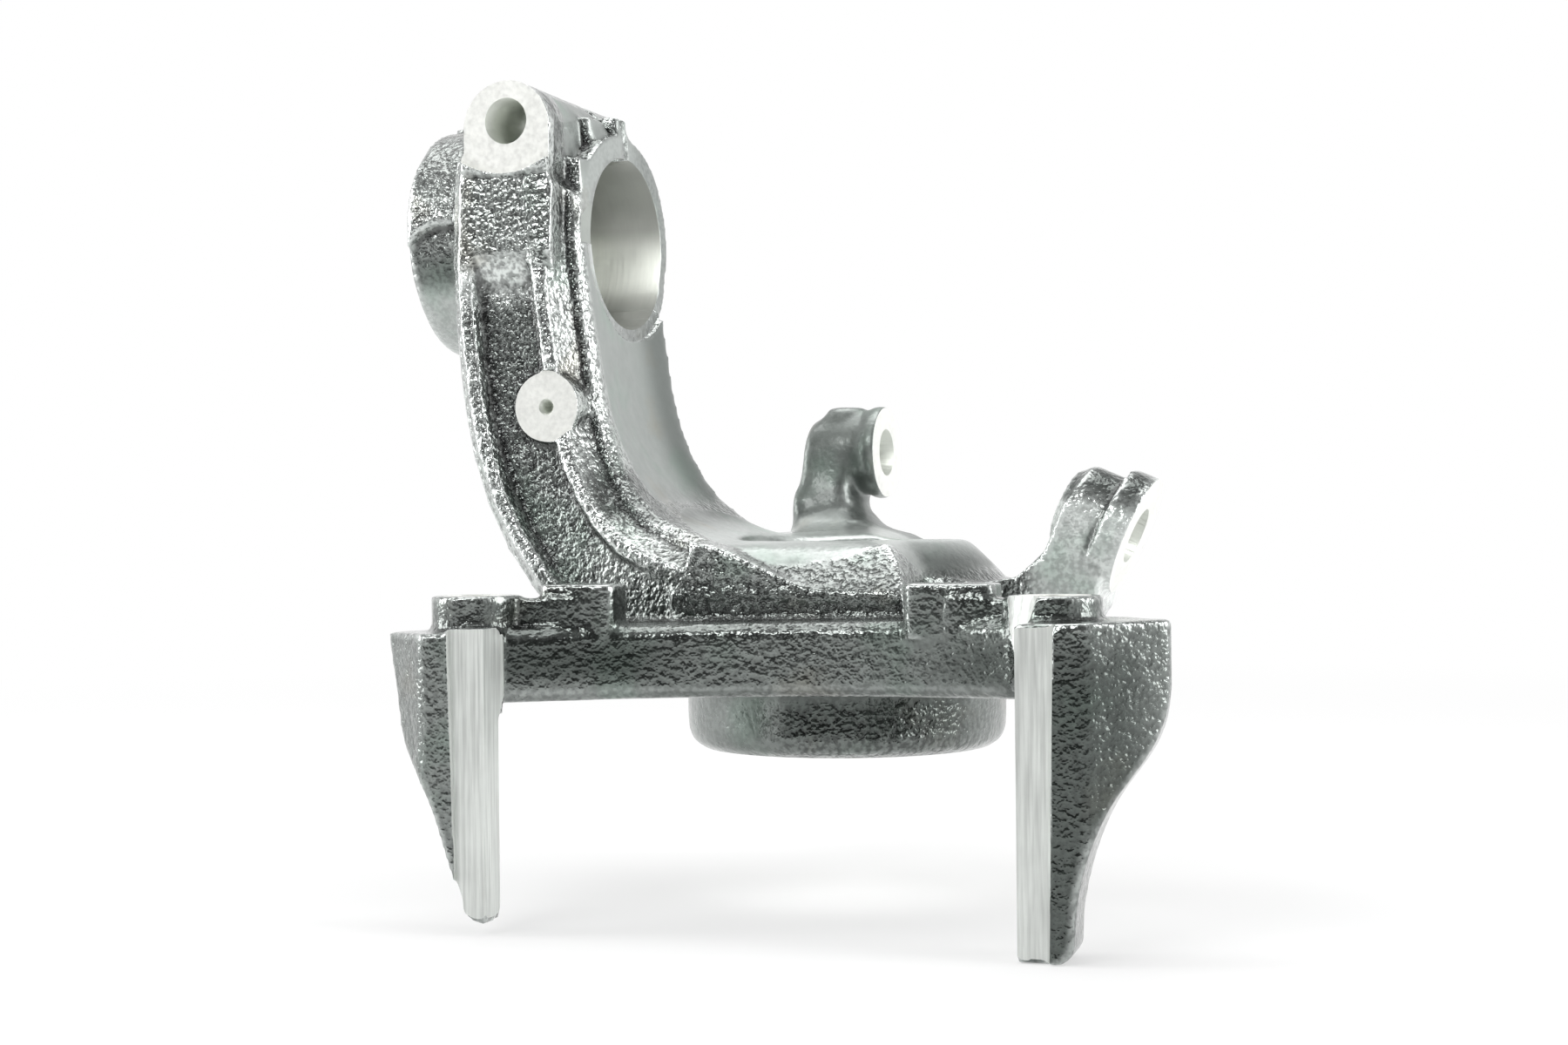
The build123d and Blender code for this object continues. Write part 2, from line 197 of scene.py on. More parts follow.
def cut(obj, bm, material):
    """Takes a cutter out of obj; the new faces get the material of that index."""
    for face in bm.faces:
        face.material_index = material
    tool = mesh_object("cutter", bm, obj.data.materials)
    boolean = obj.modifiers.new("cut", "BOOLEAN")
    boolean.operation = "DIFFERENCE"
    boolean.solver = "MANIFOLD"
    boolean.object = tool
    apply_modifiers(obj)
    bpy.data.objects.remove(tool)


# ---------------------------------------------------------------- materials


def shader(name):
    material = bpy.data.materials.new(name)
    material.use_nodes = True
    return material, material.node_tree.nodes, material.node_tree.links


def feed(links, source, socket):
    """Gives an input another socket's output, or a plain number."""
    if hasattr(source, "links"):
        links.new(source, socket)
    else:
        socket.default_value = source


def noise(nodes, links, source, scale, detail):
    texture = nodes.new("ShaderNodeTexNoise")
    texture.inputs["Scale"].default_value = scale
    texture.inputs["Detail"].default_value = detail
    links.new(source, texture.inputs["Vector"])
    return texture.outputs["Fac"]


def ramp(nodes, links, source, stops):
    node_ramp = nodes.new("ShaderNodeValToRGB")
    elements = node_ramp.color_ramp.elements
    for k, (place, colour) in enumerate(stops):
        stop = elements[k] if k < 2 else elements.new(place)
        stop.position = place
        stop.color = (*colour, 1)
    links.new(source, node_ramp.inputs["Fac"])
    return node_ramp.outputs["Color"]


def mixed(nodes, links, share, low, high, kind="MIX"):
    mix = nodes.new("ShaderNodeMix")
    mix.data_type = "RGBA"
    mix.blend_type = kind
    feed(links, share, mix.inputs["Factor"])
    links.new(low, mix.inputs[6])
    links.new(high, mix.inputs[7])
    return mix.outputs[2]


def bump(nodes, links, height, strength, distance, normal=None):
    node_bump = nodes.new("ShaderNodeBump")
    feed(links, strength, node_bump.inputs["Strength"])
    node_bump.inputs["Distance"].default_value = distance
    links.new(height, node_bump.inputs["Height"])
    if normal:
        links.new(normal, node_bump.inputs["Normal"])
    return node_bump.outputs["Normal"]


def plain(nodes, colour):
    rgb = nodes.new("ShaderNodeRGB")
    rgb.outputs[0].default_value = (*colour, 1)
    return rgb.outputs[0]


def grey(value):
    return (value, value, value)


def read(nodes, name):
    """A number that the mesh keeps at each vertex."""
    attribute_node = nodes.new("ShaderNodeAttribute")
    attribute_node.attribute_name = name
    return attribute_node.outputs["Fac"]


# noises of the skin, per metre, and depths of all bumps, in metres
PEBBLE_SCALE, WAVE_SCALE, STAIN_SCALE = 660, 230, 38
PEBBLE_DEPTH, WAVE_DEPTH, LINE_DEPTH = 0.0006, 0.0007, 0.0004
DARK_IRON, PALE_IRON, RIB_HIGHLIGHT_SILVER = (0.030, 0.042, 0.035), (0.90, 0.95, 0.92), (0.80, 0.84, 0.82)
GREEN_STAIN, BROWN_STAIN, STAIN_SHARE = (0.80, 1.0, 0.88), (1.0, 0.88, 0.76), 0.45


def cast_skin():
    """Oiled sand-cast iron. The mesh gives its tone with painted light and shade (how light), grain (how
    pebbled)
    and relief (how far it stands out): ribs get silver that is partly wear and partly painted highlight,
    and corners get painted shade."""
    material, nodes, links = shader("cast_iron_skin")
    skin = nodes["Principled BSDF"]
    place = nodes.new("ShaderNodeTexCoord").outputs["Object"]
    grain, tone_and_painted_light, relief = (read(nodes, name) for name in ("grain", "tone_and_painted_light", "relief"))
    pebbles = noise(nodes, links, place, PEBBLE_SCALE, 1.5)
    waves = noise(nodes, links, place, WAVE_SCALE, 2)
    patches = noise(nodes, links, place, STAIN_SCALE, 4)
    # colour: tone with painted light and shade, speckled by the pebbles, whose lighter tops are partly
    # painted glints, with faint stains
    tint = ramp(nodes, links, tone_and_painted_light, ((0.0, DARK_IRON), (1.0, PALE_IRON)))
    speckle_and_painted_glints = ramp(nodes, links, pebbles, ((0.38, grey(0.40)), (0.60, grey(1.0))))
    tint = mixed(nodes, links, grain, tint, mixed(nodes, links, 1.0, tint, speckle_and_painted_glints, "MULTIPLY"))
    stains = ramp(nodes, links, patches, (
        (0.32, GREEN_STAIN), (0.72, BROWN_STAIN), (0.45, grey(1.0)), (0.60, grey(1.0)),
    ))
    tint = mixed(nodes, links, STAIN_SHARE, tint, stains, "MULTIPLY")
    # painted shade in corners and grooves, and silver on ribs and edges that is partly wear and partly
    # painted highlight; both show less on the fine parts
    shade = ramp(nodes, links, relief, ((0.15, grey(0.30)), (0.42, grey(1.0))))
    shown = ramp(nodes, links, grain, ((0.10, grey(0.30)), (0.50, grey(1.0))))
    tint = mixed(nodes, links, shown, tint, shade, "MULTIPLY")
    wear_and_painted_highlight = ramp(nodes, links, relief, ((0.60, grey(0.0)), (0.95, grey(0.75))))
    wear_and_painted_highlight = mixed(nodes, links, 0.8, wear_and_painted_highlight, speckle_and_painted_glints, "MULTIPLY")
    wear_and_painted_highlight = mixed(nodes, links, 1.0, wear_and_painted_highlight, shown, "MULTIPLY")
    links.new(mixed(nodes, links, wear_and_painted_highlight, tint, plain(nodes, RIB_HIGHLIGHT_SILVER)), skin.inputs["Base Color"])
    # gloss: oily where it is pebbled, satin where it is fine
    links.new(ramp(nodes, links, tone_and_painted_light, ((0.60, grey(0.9)), (1.0, grey(0.2)))), skin.inputs["Metallic"])
    gloss = ramp(nodes, links, waves, ((0.35, grey(0.15)), (0.70, grey(0.27))))
    satin = ramp(nodes, links, grain, ((0.10, grey(0.22)), (0.45, grey(0.0))))
    links.new(mixed(nodes, links, 1.0, gloss, satin, "ADD"), skin.inputs["Roughness"])
    links.new(ramp(nodes, links, grain, ((0.0, grey(0.25)), (0.5, grey(0.7)))), skin.inputs["Coat Weight"])
    skin.inputs["Coat Roughness"].default_value = 0.08
    depth = ramp(nodes, links, grain, ((0.0, grey(0.06)), (1.0, grey(1.0))))
    normal = bump(nodes, links, waves, depth, WAVE_DEPTH)
    normal = bump(nodes, links, pebbles, depth, PEBBLE_DEPTH, normal)
    links.new(normal, skin.inputs["Normal"])
    links.new(normal, skin.inputs["Coat Normal"])
    return material


def machined(name, colour, metallic, roughness, stretch, depth, contrast, axis=None):
    """Bright machined iron with fine tool lines; stretch gives how the lines run, as a noise's scale
    along each axis, and contrast how dark they are. With an axis, highlights spread along it and the
    mesh's painted light, a painted highlight band with painted shade beside it, multiplies the colour."""
    material, nodes, links = shader(name)
    face = nodes["Principled BSDF"]
    place = nodes.new("ShaderNodeTexCoord").outputs["Object"]
    mapping = nodes.new("ShaderNodeMapping")
    mapping.inputs["Scale"].default_value = stretch
    links.new(place, mapping.inputs["Vector"])
    lines = noise(nodes, links, mapping.outputs["Vector"], 1, 3)
    clouds = noise(nodes, links, place, 90, 3)
    lined = ramp(nodes, links, lines, ((0.30, tuple(c * (1 - contrast) for c in colour)), (0.62, colour)))
    clouded = ramp(nodes, links, clouds, ((0.30, grey(0.92)), (0.62, grey(1.0))))
    lined = mixed(nodes, links, 1.0, lined, clouded, "MULTIPLY")
    if axis:
        # the bore's painted highlight band and painted shade
        lined = mixed(nodes, links, 1.0, lined, read(nodes, "tone_and_painted_light"), "MULTIPLY")
    links.new(lined, face.inputs["Base Color"])
    face.inputs["Metallic"].default_value = metallic
    gloss = ramp(nodes, links, lines, ((0.3, grey(roughness * 0.8)), (0.7, grey(roughness * 1.25))))
    links.new(gloss, face.inputs["Roughness"])
    links.new(bump(nodes, links, lines, depth, LINE_DEPTH), face.inputs["Normal"])
    if axis:
        along = nodes.new("ShaderNodeCombineXYZ")
        for socket, share in zip(along.inputs, axis):
            socket.default_value = share
        links.new(along.outputs["Vector"], face.inputs["Tangent"])
        face.inputs["Anisotropic"].default_value = 0.5
    return material


# in the order of CAST, MILLED, FACED, TURNED, DRILLED and BORED
materials = (
    cast_skin(),
    machined("milled_face", (0.80, 0.83, 0.80), 0.35, 0.36, (1100, 1100, 45), 0.25, 0.28),
    machined("spot_face", (0.96, 0.97, 0.93), 0.30, 0.38, (700, 700, 700), 0.10, 0.10),
    machined("turned_face", (0.46, 0.49, 0.46), 0.60, 0.36, (900, 300, 300), 0.10, 0.10),
    machined("drilled_wall", (0.70, 0.73, 0.67), 0.60, 0.40, (300, 300, 900), 0.06, 0.06),
    machined("bored_wall", (0.95, 0.98, 0.90), 0.60, 0.42, (900, 60, 60), 0.04, 0.06, (1, 0, 0)),
)


# ---------------------------------------------------------------- maps of the casting's skin


def fade(low, high, value):
    """0 below low, 1 above high, and smooth between."""
    share = min(max((value - low) / (high - low), 0), 1)
    return share * share * (3 - 2 * share)


def flank_of(place, normal):
    """1 on the arm's smooth inner flank."""
    x, y, z = place / MM
    return fade(0.50, 0.80, normal.x) * fade(-15, -25, x) * fade(-30, -25, y) * fade(50, 58, z)


def fineness_of(place, normal):
    """How smooth the casting is there: the arm's inner flank, the barrel, the hub and the steering
    arm are finer than the rest, apart from a rough patch on the hub's front."""
    x, y, z = place / MM
    drum = fade(HUB_R + 3, HUB_R + 1, math.hypot(x, y))
    flank = flank_of(place, normal)
    barrel = 0.7 * fade(-112, -120, x) * fade(152, 140, z)
    patch = fade(-14, 4, x) * fade(52, 36, x) * fade(0, -10, y) * fade(20, 14, z)
    hub = drum * max(0.7 * fade(24, 20, z) * (1 - patch), 0.85 * fade(50, 56, z))
    return max(flank, barrel, hub, 0.9 * fade(35, 55, y))


def grain_of(place, normal):
    """How pebbled the casting looks there: fully, except on its fine parts and, by less, on the
    panel over the arm's channel, the carrier and the ball joint lug."""
    x, y, z = place / MM
    panel = 0.20 * fade(-56, -66, x) * fade(146, 152, z) * fade(-20, -30, y)
    carrier = 0.45 * fade(-72, -78, y)
    lug = 0.50 * fade(58, 66, x) * fade(40, 46, z)
    return 1 - max(fineness_of(place, normal), panel, carrier, lug)


# how light the skin is in places, its own tone and, in most rows, painted light and shade: lit and
# shaded sides, painted highlights and painted reflections; from low to high corner in millimetres, on the
# faces that look one way, or on all where none is given; a later row goes over an earlier one
SKIN_TONE = 0.18
TONE_BLEND = 4.0
TONE_AND_PAINTED_LIGHT = (
    # painted light on the ribs' left-facing sides
    ((-140, -60, 48), (-60, -10, 150), (-1.0, 0.0, 0.0), 0.70),  # arm, left sides of the ribs
    ((-140, -50, 149), (-60, -10, 185), None, 0.42),  # panel over the channel
    # painted light on the ribs' right-facing sides
    ((-140, -50, 48), (-15, -22, 150), (1.0, 0.0, 0.0), 0.60),  # arm, right sides of the ribs
    # a painted highlight band
    ((-126, -50, 137), (-84, -34, 150), None, 0.85),  # light band under the panel
    ((-65, -50, 48), (-15, -10, 85), None, 0.15),  # foot of the arm
    ((-140, -60, 156), (-114, 60, 205), None, 0.38),  # clamp's barrel, above
    # painted shade
    ((-140, -60, 144), (-114, 60, 155), None, 0.14),  # its dark middle
    ((-140, -60, 100), (-114, 60, 143), None, 0.45),  # below
    ((60, -45, 40), (118, 40, 100), None, 1.0),  # ball joint lug
    # painted shade on the lug's top
    ((60, -45, 40), (118, 40, 100), (0.0, 0.0, 1.0), 0.10),  # its top
    ((-60, -80, 50), (60, -30, 66), None, 0.36),  # front edge of the hub's top
    ((-40, 48, 72), (40, 100, 140), None, 0.24),  # steering arm
    # painted light on the hub's upward faces
    ((-60, -60, 60), (60, 60, 68), (0.0, 0.0, 1.0), 0.65),  # hub's top
    ((-72, -116, 36), (72, -86, 49), None, 0.09),  # stop blocks
    # painted light on the left horn
    ((-110, -116, -44), (-70, -75, 36), None, 0.22),  # left horn
    ((70, -116, -44), (110, -75, 36), None, 0.06),  # right horn
    ((-72, -112, 0), (72, -80, 36), None, 0.05),  # carrier's web
    # a painted highlight on the web's lower edge
    ((-72, -116, 17), (72, -80, 24), None, 0.28),  # its lower edge
    ((-60, -60, -1), (60, 60, 24), None, 0.22),  # drum
    # a painted dark reflection on the drum's front
    ((-4, -60, 5), (44, -10, 19), None, 0.05),  # dark patch on its front
)
# painted shade of the clamp's bore away from its painted highlight band, and how far the band lies below
# the axis
BORE_PAINTED_SHADE, BORE_HIGHLIGHT_DROP = 0.36, 6
# tone of the arm's flank, and by how much painted shade makes it less at the far edge
FLANK_TONE, FLANK_FAR_SHADE = 0.40, 0.22


def tone_and_painted_light_of(place, normal):
    """How light the skin is there, with painted light and shade, or the painted highlight band and shade on
    the wall of the strut clamp's bore.
    """
    x, y, z = place / MM
    across, above = y - STRUT_AXIS[0], z - STRUT_AXIS[1]
    # the bore's wall: a painted highlight band just below the axis, painted shade above and below it
    if abs(math.hypot(across, above) - STRUT_R) < 0.1 and x < CLAMP_X[1] + 1:
        return BORE_PAINTED_SHADE + (1 - BORE_PAINTED_SHADE) * fade(15, 2, abs(above + BORE_HIGHLIGHT_DROP))
    tone_and_painted_light = SKIN_TONE
    for low, high, facing, value in TONE_AND_PAINTED_LIGHT:
        share = fade(0.2, 0.7, normal.dot(Vector(facing))) if facing else 1
        for along, first, last in zip((x, y, z), low, high):
            share *= fade(first - TONE_BLEND, first + TONE_BLEND, along)
            share *= fade(last + TONE_BLEND, last - TONE_BLEND, along)
        tone_and_painted_light += (value - tone_and_painted_light) * share
    # painted shade on the flank's far edge
    flank_tone = FLANK_TONE - FLANK_FAR_SHADE * fade(6, 20, y)
    return tone_and_painted_light + (flank_tone - tone_and_painted_light) * flank_of(place, normal)


def averaged(mesh, values, rounds):
    """Values of the vertices, each moved rounds times to the mean of its neighbours'."""
    pairs = np.empty(len(mesh.edges) * 2, int)
    mesh.edges.foreach_get("vertices", pairs)
    a, b = pairs.reshape(-1, 2).T
    count = len(mesh.vertices)
    neighbours = np.bincount(pairs, minlength=count)
    for _ in range(rounds):
        sums = [
            np.bincount(a, column[b], count) + np.bincount(b, column[a], count) for column in values.T
        ]
        values = np.stack(sums, 1) / neighbours[:, None]
    return values


def vectors(mesh, kind):
    """The places ("co") or normals ("normal") of the vertices, one to a row."""
    found = np.empty(len(mesh.vertices) * 3)
    mesh.vertices.foreach_get(kind, found)
    return found.reshape(-1, 3)


def relief_map(mesh, rounds=8, reach=0.55 * MM, weak=0.45):
    """How far each vertex stands out of its smoothed surroundings: 0.5 where flat, more on ribs and
    edges, less in grooves and corners, and weaker on the carrier and the hub than on the arm."""
    places = vectors(mesh, "co")
    height = ((places - averaged(mesh, places, rounds)) * vectors(mesh, "normal")).sum(1)
    strong = np.array([weak + (1 - weak) * fade(50, 60, z / MM) for z in places[:, 2]])
    return np.clip(0.5 + 0.5 * strong * height / reach, 0, 1)


def ease(mesh, rounds=24, blend=8):
    """Smooths the fine parts of the casting; blend spreads where they end."""
    places = vectors(mesh, "co")
    share = np.array([[fineness_of(v.co, v.normal)] for v in mesh.vertices])
    share = averaged(mesh, share, blend)
    moved = places + (averaged(mesh, places, rounds) - places) * share
    mesh.vertices.foreach_set("co", moved.ravel())
    mesh.update()


def attribute(mesh, name, values):
    mesh.attributes.new(name, "FLOAT", "POINT").data.foreach_set("value", values)


# ---------------------------------------------------------------- the raw casting

BALL_OUT = Vector((math.cos(BALL_TILT), 0, -math.sin(BALL_TILT)))
CARRIER = Matrix.Rotation(CARRIER_TURN, 4, "Z")


def arc(centre, radius, first, last, steps=24):
    """Points in millimetres round centre, from one angle in degrees to another."""
    angles = [math.radians(first + (last - first) * k / steps) for k in range(steps + 1)]
    return [(centre[0] + radius * math.cos(a), centre[1] + radius * math.sin(a)) for a in angles]


def ear_outline(low_z):
    """Front view of the clamp bolt's ear, down to low_z."""
    bulge = (EAR_HALF_W**2 + EAR_H**2) / (2 * EAR_H)
    half = math.degrees(math.asin(EAR_HALF_W / bulge))
    crown = arc((BOLT[0], BOLT[1] + EAR_H - bulge), bulge, 90 - half, 90 + half)
    return crown + [(BOLT[0] - EAR_HALF_W, low_z), (BOLT[0] + EAR_HALF_W, low_z)]


def stocks():
    """Metal that is machined away again: plugs in the bores and a little stock on flat faces. The
    small numbers are margins, by which a plug reaches into the casting around it."""
    y, z = STRUT_AXIS
    # strut clamp, its slit and its bolt ears
    yield cylinder(CLAMP_R - 0.4, (CLAMP_X[0] - STOCK, y, z), (CLAMP_X[1], y, z))
    yield prism(rectangle(y - 4, y + 4, z + 20, z + 41), CLAMP_X[0], CLAMP_X[1] - 1, "X")
    low_z = BOLT[1] + EAR_SPOT_RISE - EAR_SPOT_R
    yield prism(ear_outline(low_z + 1), EAR_Y[0] - STOCK, EAR_Y[0] + 4, "Y")
    yield cylinder(NUT_SPOT_R - 0.5, (BOLT[0], EAR_Y[0], BOLT[1]), (BOLT[0], EAR_Y[1] + STOCK, BOLT[1]))
    # gauge spot
    yield cylinder(SPOT_R, SPOT + Vector((0, 3, 0)), SPOT - Vector((0, STOCK, 0)))
    # steering arm
    yield cylinder(TIE_R + 3, (TIE_FACES[0] - STOCK, *TIE), (TIE_FACES[1], *TIE))
    yield cylinder(TIE_BOSS_R, (TIE_FACES[1] - 3, *TIE), (TIE_FACES[1] + STOCK, *TIE))
    yield cylinder(TIE_SPOT_R + 1, (TIE_FACES[0] - 1, *TIE), (TIE_FACES[0] + 3, *TIE))
    # ball joint lug
    yield cylinder(BALL_R + 3, BALL_FACE - BALL_OUT * BALL_LEN, BALL_FACE)
    yield cylinder(BALL_BOSS_R, BALL_FACE - BALL_OUT * 3, BALL_FACE + BALL_OUT * STOCK)
    # wheel bearing seat
    yield cylinder(CIRCLIP_R + 5, (0, 0, -STOCK), (0, 0, SHOULDER_Z + 1))
    # carrier: guide pin bosses, ledges and abutments
    for side, guide, end_z in zip((-1, 1), GUIDES, HORN_ENDS_Z):
        base, top = (CARRIER @ Vector((*guide, h)) for h in (24, GUIDE_TOP + 1))
        yield cylinder(GUIDE_R + 2, base, top)
        edge = side * HALF_PAD
        near, top_z, low_z = edge - side * STOCK, 40, end_z + 3
        slab = [(near, top_z), (edge + side * LEDGE_W, top_z), (edge + side * 6, low_z), (near, low_z)]
        yield prism(slab, -LEDGE_Y - STOCK, -LAND_Y + 4, "Y", CARRIER_TURN)


def casting():
    """The node's mesh with its bores plugged and its faces given stock, remeshed and softened."""
    bm = bmesh.new()
    bm.from_mesh(node.data)
    bmesh.ops.remove_doubles(bm, verts=bm.verts, dist=1e-6)
    for stock in stocks():
        part = bpy.data.meshes.new("stock")
        stock.to_mesh(part)
        stock.free()
        bm.from_mesh(part)
    obj = mesh_object("knuckle_casting", bm, materials)
    remesh = obj.modifiers.new("remesh", "REMESH")
    remesh.mode = "VOXEL"
    remesh.voxel_size = VOXEL
    soften = obj.modifiers.new("soften", "SMOOTH")
    soften.factor = 0.5
    soften.iterations = 2
    thin = obj.modifiers.new("thin", "DECIMATE")
    thin.ratio = KEPT_SHARE
    apply_modifiers(obj)
    ease(obj.data)
    return obj


# ---------------------------------------------------------------- machining


def clamp_cuts():
    """The strut clamp: its end faces, bore, slit and bolt hole with its spot faces."""
    y, z = STRUT_AXIS
    outer, inner = CLAMP_X
    yield cylinder(CLAMP_R + 4, (outer - CLEAR, y, z), (outer, y, z)), TURNED
    yield prism(arc((y, z), CLAMP_R + 0.3, -5, 185), inner - 0.2, inner + CLEAR, "X"), TURNED
    # past the inner face the casting is cleared round the bore
    past = inner + 15
    yield cylinder(STRUT_R + CLAMP_WALL / 2, (inner, y, z), (past, y, z)), CAST
    yield cylinder(STRUT_R, (outer - OVER, y, z), (past, y, z), steps=160), BORED
    slit = rectangle(y - SLIT_W / 2, y + SLIT_W / 2, z + 15, 215)
    yield prism(slit, outer - OVER, past, "X"), CAST
    bolt_x, bolt_z = BOLT
    front, back = EAR_Y
    spot_z = bolt_z + EAR_SPOT_RISE
    yield cylinder(EAR_SPOT_R, (bolt_x, front, spot_z), (bolt_x, front - CLEAR, spot_z)), FACED
    yield cylinder(NUT_SPOT_R, (bolt_x, back, bolt_z), (bolt_x, back + CLEAR, bolt_z)), FACED
    yield cylinder(BOLT_R, (bolt_x, front - OVER, bolt_z), (bolt_x, back + OVER, bolt_z)), DRILLED


def spot_cuts():
    """The gauge spot on the arm and its centre mark."""
    yield cylinder(SPOT_R + 0.5, SPOT, SPOT - Vector((0, CLEAR, 0))), FACED
    mark = Matrix.Translation(SPOT * MM) @ Matrix.Rotation(math.pi / 2, 4, "X")
    pilot, depth = SPOT_MARK_R / 2, SPOT_PILOT_DEPTH
    yield revolved([
        (0, -depth - 1), (pilot, -depth), (pilot, -pilot * 1.7), (SPOT_MARK_R, 0), (SPOT_MARK_R, 2), (0, 2),
    ], mark, 32), DRILLED


def arm_and_lug_cuts():
    """The steering arm's tie rod boss, both faces and its hole, and the ball joint lug's face and hole."""
    back, front = TIE_FACES
    yield cylinder(TIE_BOSS_R + 1, (front, *TIE), (front + CLEAR, *TIE)), FACED
    yield cylinder(TIE_SPOT_R, (back, *TIE), (back - 2 * CLEAR, *TIE)), FACED
    yield cylinder(TIE_R, (back - CLEAR, *TIE), (front + CLEAR, *TIE)), DRILLED
    yield cylinder(BALL_BOSS_R + 1, BALL_FACE, BALL_FACE + BALL_OUT * CLEAR), FACED
    inner_end = BALL_FACE - BALL_OUT * (BALL_LEN + CLEAR)
    yield cylinder(BALL_R, inner_end, BALL_FACE + BALL_OUT * CLEAR), DRILLED


def hub_cuts():
    """The outboard face, and the bearing's seat with its chamfer, circlip groove and shoulder."""
    yield cylinder(HUB_R + 3, (0, 0, 0), (0, 0, -CLEAR)), FACED
    outside, inside = 3, HUB_TOP_Z + 12
    yield revolved([
        (0, -outside), (BEARING_R + BEARING_CHAMFER + outside, -outside), (BEARING_R, BEARING_CHAMFER),
        (BEARING_R, CIRCLIP_Z[0]), (CIRCLIP_R, CIRCLIP_Z[0]),
        (CIRCLIP_R, CIRCLIP_Z[1]), (BEARING_R, CIRCLIP_Z[1]),
        (BEARING_R, SHOULDER_Z), (SHAFT_R, SHOULDER_Z), (SHAFT_R, inside), (0, inside),
    ], steps=160), DRILLED


def carrier_cuts(side, guide):
    """One side of the carrier: its ledge, its abutment with relief and run-out, and its guide boss."""
    edge = side * HALF_PAD
    inside = edge - side * 12
    ends = edge + side * LEDGE_W, edge + side * (LEDGE_W - LEDGE_TAPER)
    ledge = [(inside, PAST), (ends[0], PAST), (ends[1], -PAST), (inside, -PAST)]
    yield prism(ledge, -LEDGE_Y - CLEAR, -LEDGE_Y, "Y", CARRIER_TURN), MILLED
    land = rectangle(inside, edge, -PAST, PAST)
    yield prism(land, -LEDGE_Y - 1, -LAND_Y, "Y", CARRIER_TURN), MILLED
    relief = rectangle(inside, edge + side * LAND_RELIEF, -PAST, PAST)
    yield prism(relief, -LAND_Y - 1, -WEB_END_Y - 0.6, "Y", CARRIER_TURN), MILLED
    axis = Vector((edge - side * RUNOUT_IN, -WEB_END_Y - RUNOUT_OUT, 0)) * MM
    flare, top_z = RUNOUT_R / (GUIDE_TOP - RUNOUT_Z), GUIDE_TOP + 3
    cone = [(0, RUNOUT_Z), (flare * 1.3, RUNOUT_Z), (RUNOUT_R + flare * 3, top_z), (0, top_z)]
    yield revolved(cone, CARRIER @ Matrix.Translation(axis)), MILLED
    base, top = (CARRIER @ Vector((*guide, h)) for h in (-PAST, GUIDE_TOP))
    above = top + Vector((0, 0, CLEAR))
    yield cylinder(GUIDE_SPOT_R, top, above), FACED
    yield cylinder(GUIDE_R, base, above), DRILLED


knuckle = casting()
for cuts in (
    clamp_cuts(), spot_cuts(), arm_and_lug_cuts(), hub_cuts(),
    carrier_cuts(-1, GUIDES[0]), carrier_cuts(1, GUIDES[1]),
):
    for cutter, material in cuts:
        cut(knuckle, cutter, material)
attribute(knuckle.data, "grain", [grain_of(v.co, v.normal) for v in knuckle.data.vertices])
# tone with painted light and shade: lit and shaded sides, painted highlights and painted reflections
attribute(knuckle.data, "tone_and_painted_light", [tone_and_painted_light_of(v.co, v.normal) for v in knuckle.data.vertices])
attribute(knuckle.data, "relief", relief_map(knuckle.data))
for polygon in knuckle.data.polygons:
    polygon.use_smooth = polygon.material_index in (CAST, DRILLED, BORED)
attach(knuckle, "root")
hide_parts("knuckle")


# ---------------------------------------------------------------- studio


def floor():
    """A pale floor under the horns, which fades into the white surround before its edge."""
    bm = bmesh.new()
    bmesh.ops.create_circle(bm, cap_ends=True, segments=96, radius=9)
    bm.transform(Matrix.Translation((0, 0, cad_box[0][2])))
    material, nodes, links = shader("pale_paper")
    paper = nodes["Principled BSDF"]
    paper.inputs["Base Color"].default_value = (0.94, 0.94, 0.94, 1)
    paper.inputs["Roughness"].default_value = 0.9
    reach = nodes.new("ShaderNodeVectorMath")
    reach.operation = "LENGTH"
    links.new(nodes.new("ShaderNodeTexCoord").outputs["Object"], reach.inputs[0])
    share = nodes.new("ShaderNodeMapRange")
    share.interpolation_type = "SMOOTHSTEP"
    share.inputs["From Min"].default_value = 0.15
    share.inputs["From Max"].default_value = 1.1
    share.inputs["To Min"].default_value = 0.50
    links.new(reach.outputs["Value"], share.inputs["Value"])
    glow = nodes.new("ShaderNodeEmission")
    mix = nodes.new("ShaderNodeMixShader")
    links.new(share.outputs["Result"], mix.inputs["Fac"])
    links.new(paper.outputs["BSDF"], mix.inputs[1])
    links.new(glow.outputs["Emission"], mix.inputs[2])
    links.new(mix.outputs["Shader"], nodes["Material Output"].inputs["Surface"])
    mesh_object("floor", bm, [material])


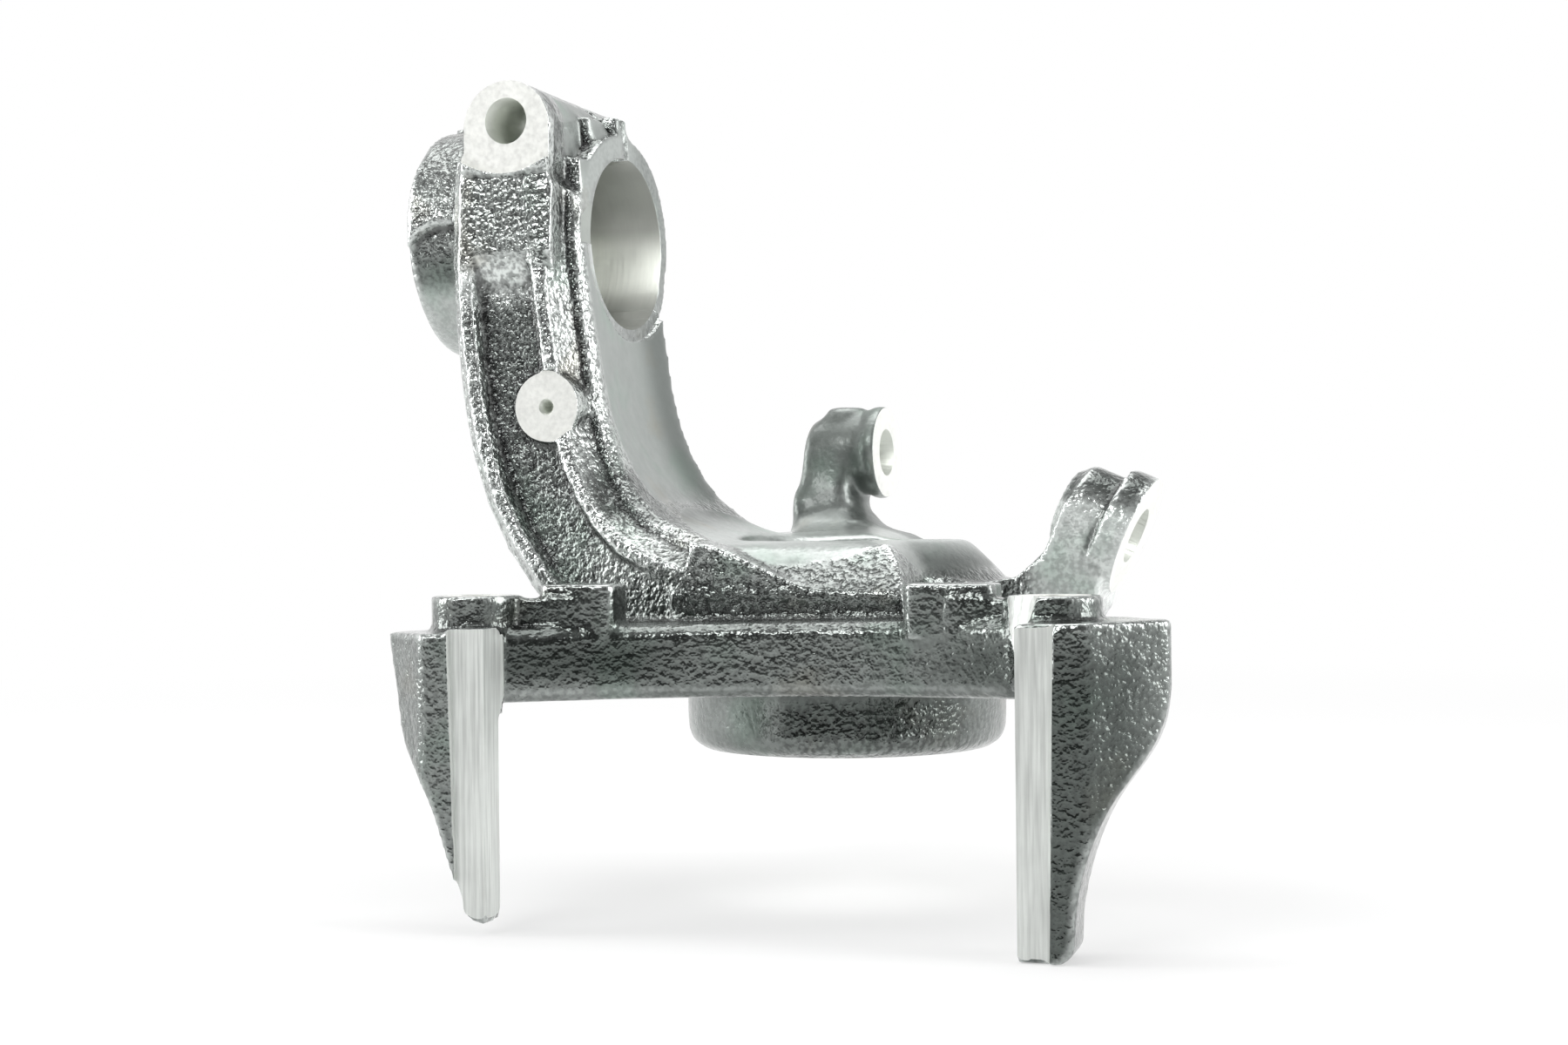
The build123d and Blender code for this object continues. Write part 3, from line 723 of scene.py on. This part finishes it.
def surround():
    """A white tent that is open, and so darker, on the side that the part is seen from. The camera
    sees it white all round."""
    world = bpy.data.worlds.new("studio")
    world.use_nodes = True
    nodes, links = world.node_tree.nodes, world.node_tree.links
    towards = nodes.new("ShaderNodeVectorMath")
    towards.operation = "DOT_PRODUCT"
    towards.inputs[1].default_value = Vector((0.10, -0.97, 0.0)).normalized()
    direction = nodes.new("ShaderNodeTexCoord").outputs["Generated"]
    links.new(direction, towards.inputs[0])
    tent = ramp(nodes, links, towards.outputs["Value"], ((0.40, grey(1.0)), (0.85, grey(0.06))))
    upwards = nodes.new("ShaderNodeSeparateXYZ")
    links.new(direction, upwards.inputs[0])
    ceiling = ramp(nodes, links, upwards.outputs["Z"], ((0.35, grey(1.0)), (0.85, grey(0.40))))
    tent = mixed(nodes, links, 1.0, tent, ceiling, "MULTIPLY")
    path = nodes.new("ShaderNodeLightPath")
    shown = mixed(nodes, links, path.outputs["Is Camera Ray"], tent, plain(nodes, grey(1.0)))
    links.new(shown, nodes["Background"].inputs["Color"])
    bpy.context.scene.world = world


def softbox(name, place, aim, size, power):
    data = bpy.data.lights.new(name, "AREA")
    data.shape = "RECTANGLE"
    data.size, data.size_y = size
    data.energy = power
    obj = bpy.data.objects.new(name, data)
    obj.location = place
    obj.rotation_euler = (Vector(aim) - Vector(place)).to_track_quat("-Z", "Y").to_euler()
    bpy.context.scene.collection.objects.link(obj)


def camera():
    """Level with the part, round to its right and rolled by a hair."""
    data = bpy.data.cameras.new("camera")
    data.lens, data.sensor_width = LENS_MM, FILM_MM
    obj = bpy.data.objects.new("camera", data)
    obj.matrix_world = (
        Matrix.Translation(CAMERA_PLACE)
        @ Matrix.Rotation(CAMERA_TURN, 4, "Z")
        @ Matrix.Rotation(math.pi / 2, 4, "X")
        @ Matrix.Rotation(CAMERA_ROLL, 4, "Z")
    )
    bpy.context.scene.collection.objects.link(obj)
    bpy.context.scene.camera = obj


floor()
surround()
softbox("top", (-0.2, 0.2, 1.3), (0, 0, 0.05), (1.2, 1.0), 8)
softbox("left", (-1.2, -0.4, 0.5), (0, 0, 0.08), (0.5, 1.0), 7)
softbox("right", (1.2, 0.0, 0.5), (0, 0, 0.08), (0.5, 1.0), 7)
softbox("front", (-0.33, -0.9, 0.7), (0, 0, 0.08), (0.6, 0.25), 3)
bpy.context.scene.view_settings.view_transform = "Standard"
camera()
